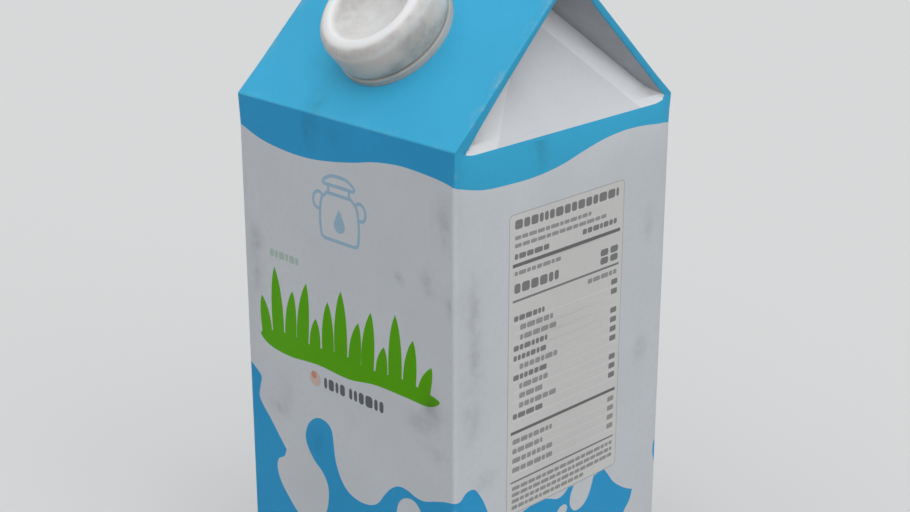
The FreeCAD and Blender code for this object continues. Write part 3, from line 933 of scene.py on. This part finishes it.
class Tree:
    """A node tree with short ways to add to it. A value is a number, a colour or another node's output."""

    def __init__(self, tree):
        self.nodes, self.links = tree.nodes, tree.links

    def fill(self, node, values):
        """Give a node's inputs their values, by name or number."""
        for key, value in values.items():
            socket = node.inputs[key]
            if isinstance(value, bpy.types.NodeSocket):
                self.links.new(value, socket)
            else:
                socket.default_value = (*value, 1) if socket.type == "RGBA" else value

    def add(self, kind, output, values, **settings):
        """Add a node and return one of its outputs."""
        node = self.nodes.new(kind)
        for key, value in settings.items():
            setattr(node, key, value)
        self.fill(node, values)
        return node.outputs[output]

    def noise(self, scale, detail, roughness=0.5):
        """Noise that is fixed to the object."""
        place = self.add("ShaderNodeTexCoord", "Object", {})
        return self.add("ShaderNodeTexNoise", "Fac",
                        {"Vector": place, "Scale": scale, "Detail": detail, "Roughness": roughness})

    def remap(self, value, low, high, new_low=0.0, new_high=1.0):
        """value from low..high to new_low..new_high, clamped."""
        limits = {"From Min": low, "From Max": high, "To Min": new_low, "To Max": new_high}
        return self.add("ShaderNodeMapRange", "Result", {"Value": value, **limits})

    def mix(self, factor, a, b):
        """Colour a turning into colour b."""
        return self.add("ShaderNodeMix", 2, {"Factor": factor, 6: a, 7: b}, data_type="RGBA")

    def mask(self, name):
        return self.add("ShaderNodeAttribute", "Fac", {}, attribute_name=name)

    def clamped(self, operation, a, b):
        return self.add("ShaderNodeMath", "Value", {0: a, 1: b}, operation=operation, use_clamp=True)

    def bump(self, height, strength, distance):
        return self.add("ShaderNodeBump", "Normal",
                        {"Height": height, "Strength": strength, "Distance": distance})

    def surface(self, values):
        self.fill(self.nodes["Principled BSDF"], values)


def new_material(name):
    material = bpy.data.materials.new(name)
    material.use_nodes = True
    return material, Tree(material.node_tree)


# This grime colour also darkens the board where shade is painted.
SHADE_AND_GRIME = (0.30, 0.29, 0.26)
BARE = (0.70, 0.70, 0.68)  # board under the film
SOIL_AND_SHADE_TONE, SOIL_AND_SHADE_GRIME = 0.36, 0.03  # soiled board, and board painted darker as painted shade, is this much of its own colour, and of grime
SOIL_AND_SHADE_COVER = (0.14, 0.64)  # how far soil and painted shade cover the board where its smears are thin, and thick


def shaded(colour, by):
    return tuple(c * by for c in colour)


def board_material(name, colour):
    """Printed board under a film: faint mottling, smudges where it is soiled, painted shade under the roof
    panels and at the gable folds, flecks where it is worn.
    """
    material, tree = new_material(name)
    cloud, fibre, smear = tree.noise(28, 3), tree.noise(520, 3, 0.6), tree.noise(160, 4, 0.65)
    soiled_and_shaded = tuple(SOIL_AND_SHADE_TONE * c + SOIL_AND_SHADE_GRIME * g for c, g in zip(colour, SHADE_AND_GRIME))
    soil_and_shade = tree.clamped("MULTIPLY", tree.mask("soil_and_shade"), tree.remap(smear, 0.38, 0.66, *SOIL_AND_SHADE_COVER))
    flecks = tree.clamped("MULTIPLY", tree.mask("wear_and_counter_tint"), tree.remap(smear, 0.5, 0.68, 0, 0.35))
    tone = tree.mix(tree.remap(cloud, 0.35, 0.7), shaded(colour, 1.02), shaded(colour, 0.955))
    tone = tree.mix(tree.remap(fibre, 0.45, 0.75, 0, 0.5), tone, shaded(colour, 0.93))
    tone = tree.mix(flecks, tree.mix(soil_and_shade, tone, soiled_and_shaded), BARE)
    tree.surface({"Base Color": tone, "Roughness": tree.remap(cloud, 0.3, 0.7, 0.45, 0.57),
                  "Specular IOR Level": 0.15, "Normal": tree.bump(fibre, 0.25, 0.0001)})
    return material


def plastic_material(name, colour, tint_against_blue_light, dirt_and_shade, cover, roughness):
    """Waxy plastic, painted warmer where its mask says, to offset the blue light the roof throws on it. cover
    says how far dirt and painted shade hide it where its other mask says.
    """
    material, tree = new_material(name)
    cloud, smear = tree.noise(60, 3), tree.noise(210, 5, 0.7)
    soil_and_shade = tree.clamped("MULTIPLY", tree.mask("soil_and_shade"), tree.remap(smear, 0.38, 0.64, *cover))
    tone = tree.mix(tree.remap(cloud, 0.35, 0.7), colour, shaded(colour, 0.95))
    tone = tree.mix(soil_and_shade, tree.mix(tree.mask("wear_and_counter_tint"), tone, tint_against_blue_light), dirt_and_shade)
    rough = tree.remap(smear, 0.3, 0.7, roughness - 0.06, roughness + 0.1)
    tree.surface({"Base Color": tone, "Roughness": rough, "Normal": tree.bump(smear, 0.15, 0.0002),
                  "Subsurface Weight": 0.8, "Subsurface Scale": 0.007, "Subsurface Radius": (1, 0.75, 0.62)})
    return material


INKS = {
    "white": (0.74, 0.775, 0.815),
    # The ends' white is a lighter copy of the walls' white, and their strips lighter still, as painted light.
    "end_white_painted_lit": (0.81, 0.83, 0.865),
    "strip_white_painted_lit": (0.925, 0.94, 0.97),
    # The underside ink is the white board painted darker, as painted shade under the roof panels.
    "underside": (0.51, 0.525, 0.55),
    # The walls' blue is a darker copy of the roof's, as painted shade, and the roof's lighter blue is painted
    # light, also on the ends' header.
    "blue": (0.039, 0.405, 0.775),
    "blue_painted_lit": (0.056, 0.49, 0.80),
    "pale_blue": (0.40, 0.59, 0.75),
    "green": (0.115, 0.46, 0.0),
    "pale_green": (0.50, 0.63, 0.56),
    "orange": (0.70, 0.33, 0.25),
    "pale_orange": (0.74, 0.585, 0.52),
    "dark": (0.15, 0.16, 0.17),
    "table_ground": (0.785, 0.78, 0.765),
    "table_line": (0.52, 0.53, 0.52),
    "table_gap": (0.85, 0.85, 0.84),
    "table_text": (0.38, 0.38, 0.375),
    "table_bold": (0.26, 0.26, 0.26),
    "table_rule": (0.19, 0.19, 0.19),
    "raw_board": (0.78, 0.74, 0.66),
}


# -------- floor, light and camera

FLOOR_PALE = (0.80, 0.80, 0.80)
FLOOR_BOUNCE = (0.20, 0.20, 0.205)  # its colour for the light that it throws back
FLOOR_REACH = 6.0
SKY = (0.97, 0.985, 1.0)
SKY_LIGHT = 0.40  # its strength as a light
SKY_SEEN = 0.698  # and where it is seen
LIGHTS = [  # name, turn from +X toward +Y, height above the floor, strength, spread; angles in degrees
    ("overhead", -90, 75, 0.31, 90), ("upper", -45, 58, 0.07, 70), ("key", -40, 34, 0.12, 50),
    ("low_side", 0, 14, 0.16, 40),
]
CAMERA_LENS = 67.09  # for a sensor 36 mm wide
CAMERA_PLACE = (0.3616, -0.3623, 0.3253)
CAMERA_RIGHT = (0.7080, 0.7062, 0.0)
CAMERA_FORWARD = (-0.6650, 0.6666, -0.3368)


def seen_directly(tree):
    """1 for camera, glossy and transmission rays, 0 for the rays that light things."""
    path = tree.nodes.new("ShaderNodeLightPath").outputs
    total = path["Is Camera Ray"]
    for name in ("Is Glossy Ray", "Is Transmission Ray"):
        total = tree.clamped("ADD", total, path[name])
    return total


def make_floor():
    """A plain pale floor that throws back less light than it shows."""
    mesh = bpy.data.meshes.new("floor")
    corners = [(x * FLOOR_REACH, y * FLOOR_REACH, 0) for x, y in ((-1, -1), (1, -1), (1, 1), (-1, 1))]
    mesh.from_pydata(corners, [], [(0, 1, 2, 3)])
    material, tree = new_material("floor")
    tree.surface({"Base Color": tree.mix(seen_directly(tree), FLOOR_BOUNCE, FLOOR_PALE),
                  "Roughness": 0.9, "Specular IOR Level": 0.0})
    mesh.materials.append(material)
    floor = new_object("floor", mesh)


def make_world():
    """Even light from all round, with a pale ground behind everything."""
    world = bpy.data.worlds.new("studio")
    bpy.context.scene.world = world
    world.use_nodes = True
    tree = Tree(world.node_tree)
    strength = tree.remap(seen_directly(tree), 0, 1, SKY_LIGHT, SKY_SEEN)
    tree.fill(tree.nodes["Background"], {"Color": SKY, "Strength": strength})


def make_lights():
    """Four broad soft lights: overhead, and three from the side that the open gable end faces."""
    for name, azimuth, elevation, strength, spread in LIGHTS:
        data = bpy.data.lights.new(name, "SUN")
        data.energy = strength * math.pi
        data.angle = math.radians(spread)
        turn, rise = math.radians(azimuth), math.radians(elevation)
        toward = Vector((math.cos(rise) * math.cos(turn), math.cos(rise) * math.sin(turn), math.sin(rise)))
        light = new_object(name, data)
        light.location = toward * 2
        light.rotation_euler = toward.to_track_quat("Z", "Y").to_euler()


def make_camera():
    """The camera looks down on the front right corner from a little over the cap's height."""
    data = bpy.data.cameras.new("camera")
    data.lens = CAMERA_LENS
    data.sensor_width = 36.0
    data.clip_start = 0.01
    right, forward = Vector(CAMERA_RIGHT), Vector(CAMERA_FORWARD)
    turn = Matrix((right, right.cross(forward), -forward)).transposed()
    camera = new_object("camera", data)
    camera.matrix_world = Matrix.Translation(CAMERA_PLACE) @ turn.to_4x4()
    bpy.context.scene.camera = camera


# -------- the object

def make_board():
    """The folded carton: walls, base, roof, gable ends and fin."""
    sheet = Sheet()
    add_walls(sheet)
    add_base(sheet)
    for front in (True, False):
        add_roof_panel(sheet, front)
    for end in (1, -1):
        add_gable_end(sheet, end)
    add_fin_top(sheet)
    materials = {name: board_material(f"board_{name}", colour) for name, colour in INKS.items()}
    board = sheet.build("carton_board", materials)
    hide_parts("carton")
    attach(board, "root")


def make_spout():
    """The cap, and the collar under it."""
    # Both plastics are painted warmer where their mask says, to offset blue light from the roof.
    white = plastic_material("cap_plastic", colour=(0.95, 0.945, 0.94), tint_against_blue_light=(0.98, 0.81, 0.69),
                             dirt_and_shade=(0.22, 0.20, 0.18), cover=(0.42, 0.66), roughness=0.34)
    soiled_and_shaded = plastic_material("collar_plastic", colour=(0.74, 0.69, 0.64), tint_against_blue_light=(0.76, 0.68, 0.62),
                              dirt_and_shade=(0.50, 0.445, 0.40), cover=(0.7, 0.95), roughness=0.45)
    cap = turned("cap_moulding", cap_profile(), cap_dirt_and_shade, white)
    collar = turned("collar_moulding", collar_profile(), collar_dirt_and_shade, soiled_and_shaded)
    for piece, cad_node, slot in ((cap, "cap", "cap_plastic"), (collar, "spout_collar", "collar_plastic")):
        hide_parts(cad_node)
        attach(piece, "root")


bpy.context.scene.view_settings.view_transform = "Standard"
make_camera()
make_world()
make_lights()
make_floor()
make_board()
make_spout()
